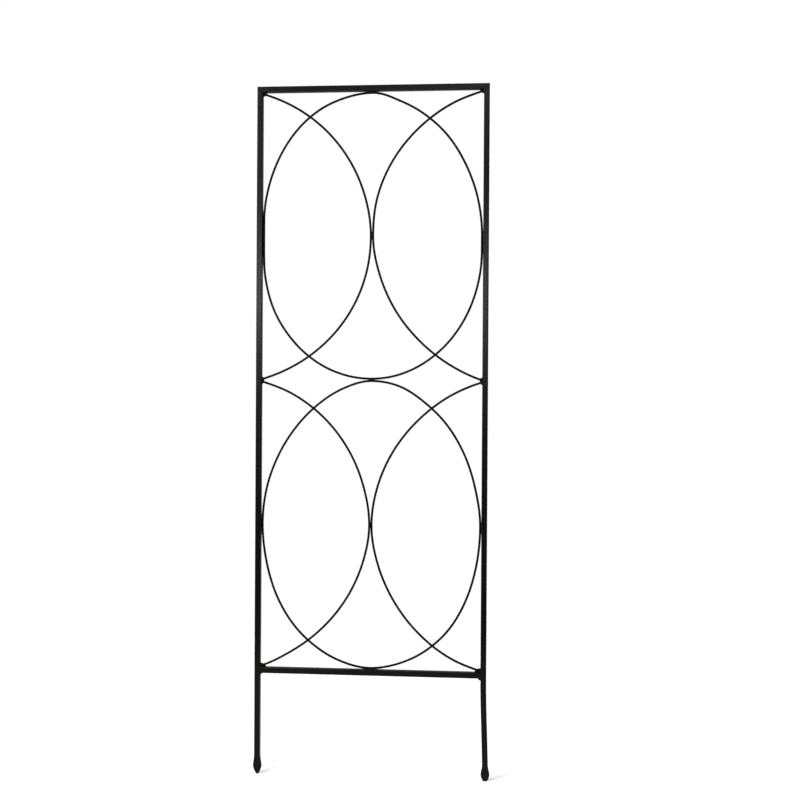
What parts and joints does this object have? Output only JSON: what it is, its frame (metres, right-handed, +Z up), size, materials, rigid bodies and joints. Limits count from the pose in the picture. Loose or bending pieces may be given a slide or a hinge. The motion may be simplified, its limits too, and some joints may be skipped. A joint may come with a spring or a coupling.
{
  "type": "garden trellis",
  "caption": "Flat black steel garden trellis: a square-tube frame on stake feet, filled with round-wire ovals crossed by bowed wire arcs.",
  "frame": {"origin": "at the height of the tips of the two stakes, midway between the two stiles", "axes": "+Z up along the stakes, +X to the right seen from the front, +Y from the front face to the back face"},
  "size_m": [0.472, 0.0116, 1.3716],
  "materials": {
    "tube_coat": "satin black powder coat on square steel tube",
    "wire_coat": "satin black powder coat on round steel wire",
    "weld_coat": "satin black powder coat over weld metal"
  },
  "bodies": {
    "root": {"left_stile": "tube_coat", "right_stile": "tube_coat", "top_rail": "tube_coat", "bottom_rail": "tube_coat", "upper_oval": "wire_coat", "lower_oval": "wire_coat", "upper_left_arc": "wire_coat", "upper_right_arc": "wire_coat", "lower_left_arc": "wire_coat", "lower_right_arc": "wire_coat", "bottom_left_corner_weld": "weld_coat", "bottom_right_corner_weld": "weld_coat", "top_left_corner_weld": "weld_coat", "top_right_corner_weld": "weld_coat", "left_under_rail_weld": "weld_coat", "right_under_rail_weld": "weld_coat", "left_middle_weld": "weld_coat", "right_middle_weld": "weld_coat", "upper_oval_left_weld": "weld_coat", "upper_oval_right_weld": "weld_coat", "lower_oval_left_weld": "weld_coat", "lower_oval_right_weld": "weld_coat", "upper_oval_top_weld": "weld_coat", "lower_oval_bottom_weld": "weld_coat", "oval_to_oval_weld": "weld_coat", "upper_arc_pair_weld": "weld_coat", "lower_arc_pair_weld": "weld_coat"}
  },
  "joints": []
}
